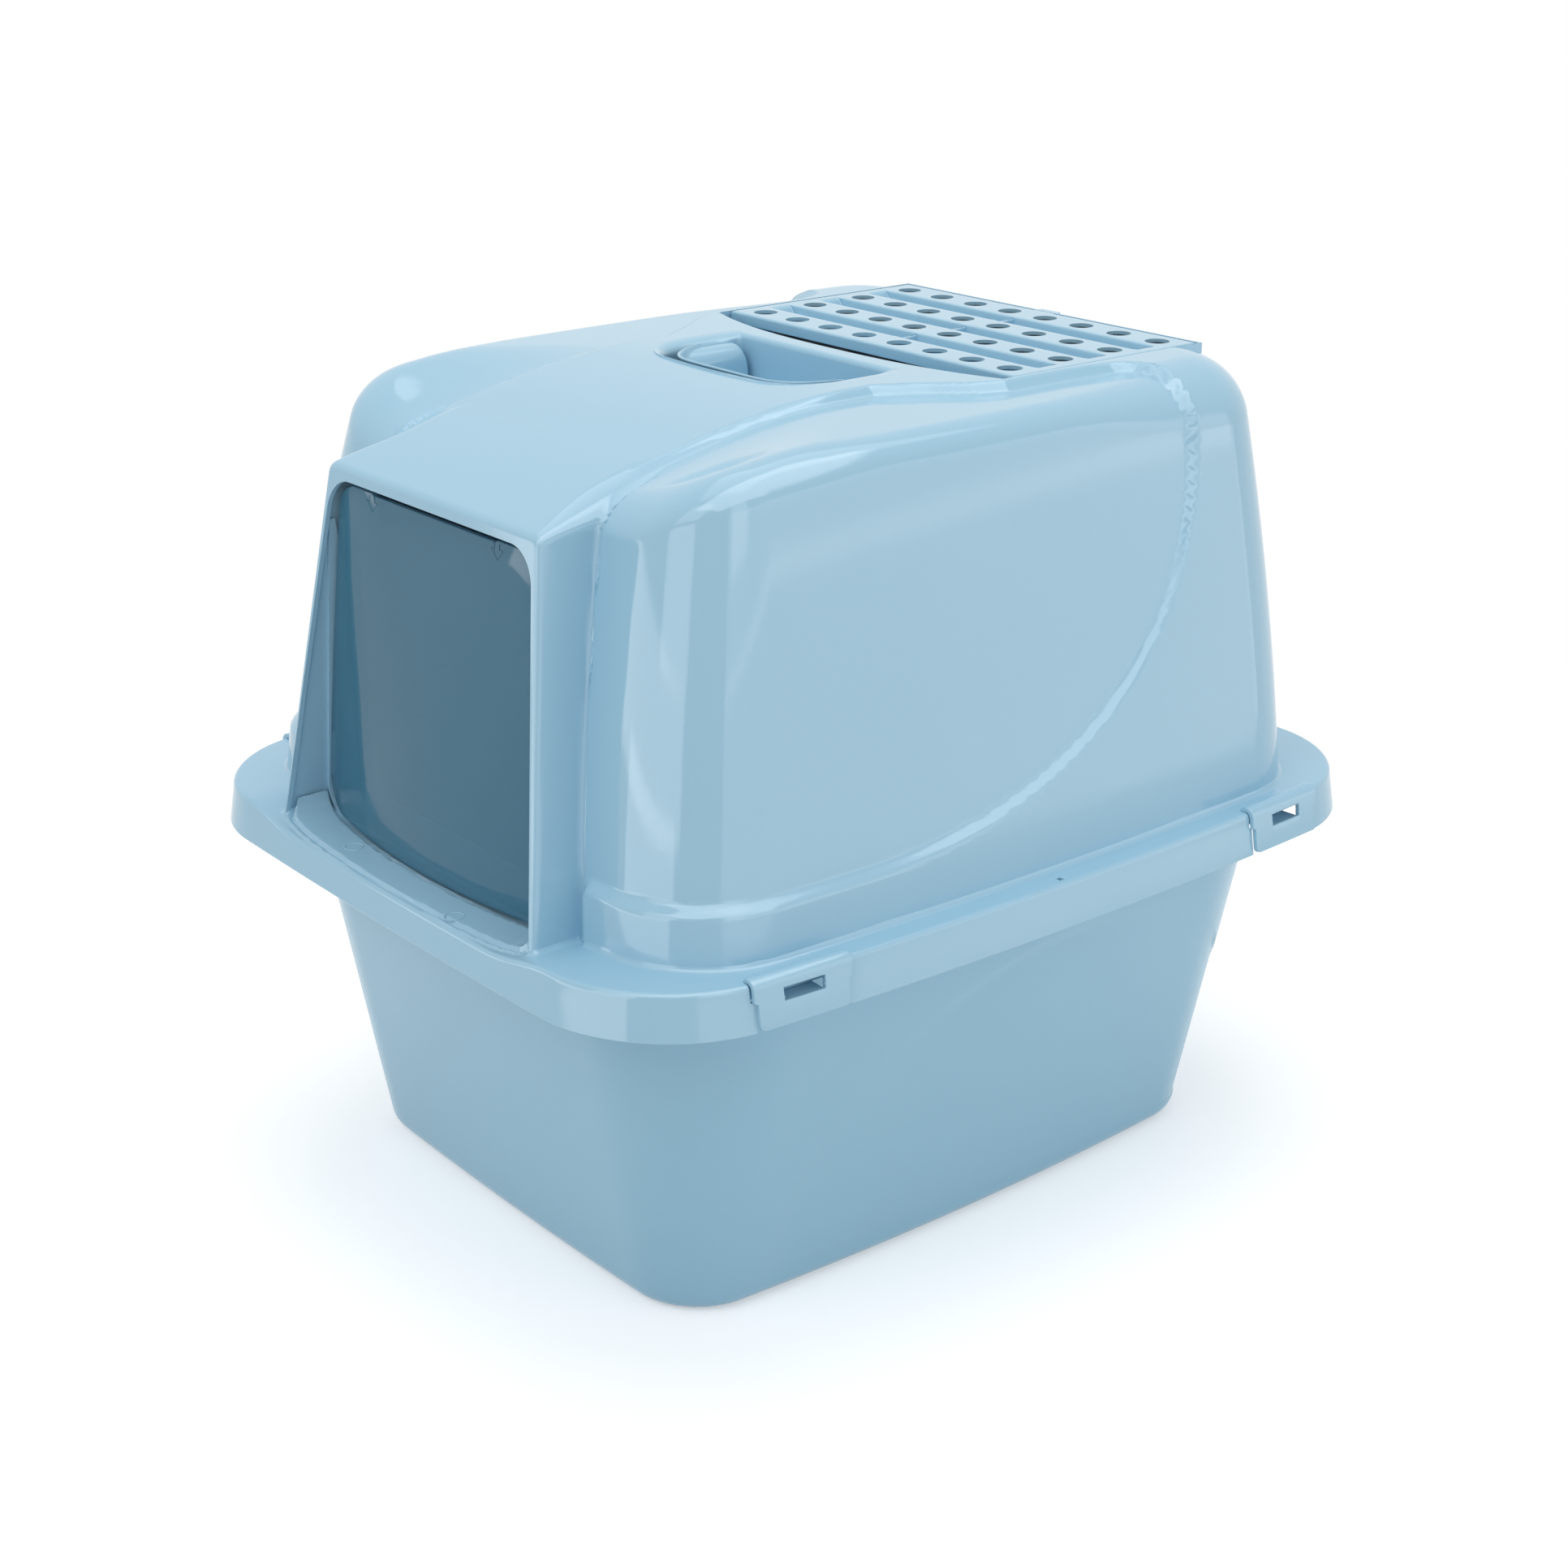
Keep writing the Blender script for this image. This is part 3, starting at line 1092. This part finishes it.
def jamb_square():
    """Small raised square on the doorway's left jamb, just above the sill."""
    outline = np.array([(-213.0, 222.5), (-203.5, 222.5), (-203.5, 229.5), (-213.0, 229.5)])
    points, faces = prism(outline, -116.6, -114.6, axis=0)
    mark = with_normals_out(hood_piece("doorway_jamb_square", points, faces))
    sharp(mark, 30)
    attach(mark, "box")


make_hood_shell()
make_rim()
ring_mark("sill_circle_left", (-58.0, -252.0), 5.0, 218.5)
ring_mark("sill_circle_right", (54.0, -260.0), 5.0, 218.5)
jamb_square()
make_pan()
make_door()
for name in LATCHES:
    make_latch(name)
make_cover()
make_pocket()
make_bay()
make_filter_pad()
make_jamb()


# Stage, light and camera

def softbox(name, place, aim, size, glow):
    """Area lamp that faces a point, as bright all over as glow times white."""
    lamp = bpy.data.lights.new(name, "AREA")
    lamp.shape = "RECTANGLE"
    lamp.size, lamp.size_y = size
    lamp.energy = glow * math.pi * size[0] * size[1]
    obj = bpy.data.objects.new(name, lamp)
    bpy.context.scene.collection.objects.link(obj)
    obj.location = place
    obj.rotation_euler = (Vector(aim) - Vector(place)).to_track_quat("-Z", "Y").to_euler()
    return obj


def panel(name, place, aim, size, glow):
    """Bright panel that shows in reflections alone, to draw highlights along the plastic's edges."""
    obj = softbox(name, place, aim, size, glow)
    obj.visible_diffuse = False
    obj.visible_camera = False
    return obj


def around(turn, distance, height):
    """Point at a distance and height, at an angle in degrees from the front towards the right."""
    a = math.radians(turn)
    return (distance * math.sin(a), -distance * math.cos(a), height)


softbox("top_softbox", (-0.2, 0.3, 2.7), (0, 0, 0.3), (2.4, 2.4), 1.4)
softbox("front_softbox", around(12, 2.2, 2.3), (0, 0, 0.35), (1.6, 1.6), 2.0)
softbox("side_softbox", around(118, 2.6, 0.7), (0, 0, 0.35), (1.7, 0.9), 1.8).visible_glossy = False
panel("side_panel", around(106, 1.15, 0.25), (0, 0, 0.25), (2.2, 0.5), 1.3)
panel("side_panel_top", around(104, 1.15, 0.74), (0, 0, 0.74), (2.0, 0.56), 1.4)
panel("corner_panel_low", (0.04, -1.17, 0.13), (0.08, -0.22, 0.13), (1.04, 0.26), 2.6)
panel("corner_panel", (-0.044, -1.170, 0.35), (0.25, -0.266, 0.35), (1.74, 0.30), 2.6)
panel("corner_panel_high", around(17, 1.3, 0.64), (0.05, 0, 0.45), (0.60, 0.34), 2.6)
panel("near_corner_panel", around(76, 1.6, 1.15), (0, 0, 0.40), (0.55, 0.9), 2.0)
panel("overhead_panel", (1.05, -0.25, 2.1), (1.05, -0.25, 0), (1.8, 2.7), 3.6)

world = bpy.data.worlds.new("studio")
bpy.context.scene.world = world
room = Finish(world)


def seen_ray(tree):
    """1 for rays from the camera, from a reflection or through clear plastic."""
    rays = ("Is Camera Ray", "Is Glossy Ray", "Is Transmission Ray")
    camera, glossy, through = [tree.node("ShaderNodeLightPath", out=ray) for ray in rays]
    return camera.math("MAXIMUM", glossy).math("MAXIMUM", through)


seen = room.node("ShaderNodeBackground", {}, {"Color": (1, 1, 1, 1), "Strength": 1.0})
lit = room.node("ShaderNodeBackground", {}, {"Color": (0.58, 0.58, 0.58, 1), "Strength": 1.0})
around_all = room.node("ShaderNodeMixShader", {}, {0: seen_ray(room), 1: lit, 2: seen})
room.node("ShaderNodeOutputWorld", {}, {"Surface": around_all})

floor_finish = Finish(bpy.data.materials.new("pale_floor"))
spot = floor_finish.node("ShaderNodeVectorMath", {"operation": "LENGTH"}, {
    0: floor_finish.node("ShaderNodeTexCoord", out="Object")}, out="Value")
near = floor_finish.node("ShaderNodeMapRange", {"interpolation_type": "SMOOTHERSTEP"}, {
    "Value": spot, "From Min": 0.45, "From Max": 1.0, "To Min": 0.0, "To Max": 1.0})
paper = floor_finish.node("ShaderNodeBsdfDiffuse", {}, {"Color": (0.86, 0.86, 0.86, 1)})
glow = floor_finish.node("ShaderNodeEmission", {}, {"Color": (1, 1, 1, 1), "Strength": 0.36})
catch = floor_finish.node("ShaderNodeAddShader", {}, {0: paper, 1: glow})
white = floor_finish.node("ShaderNodeEmission", {}, {"Color": (1, 1, 1, 1), "Strength": 1.0})
shown = floor_finish.node("ShaderNodeMixShader", {}, {0: near, 1: catch, 2: white})
floor_finish.node("ShaderNodeOutputMaterial", {}, {
    "Surface": floor_finish.node("ShaderNodeMixShader", {}, {0: seen_ray(floor_finish), 1: paper, 2: shown})})
corners = FLOOR_HALF * np.array([[-1, -1, 0], [1, -1, 0], [1, 1, 0], [-1, 1, 0]])
floor = piece("floor", corners, np.array([[0, 1, 2, 3]]), floor_finish.owner)

view = bpy.data.cameras.new("camera")
view.lens = 58.32
view.sensor_width = 36.0
camera = bpy.data.objects.new("camera", view)
bpy.context.scene.collection.objects.link(camera)
camera.location = (1.0608, -0.8739, 0.7400)
camera.rotation_euler = (math.radians(90 - 21.088), 0, math.radians(50.548))
bpy.context.scene.camera = camera
bpy.context.scene.view_settings.view_transform = "Standard"
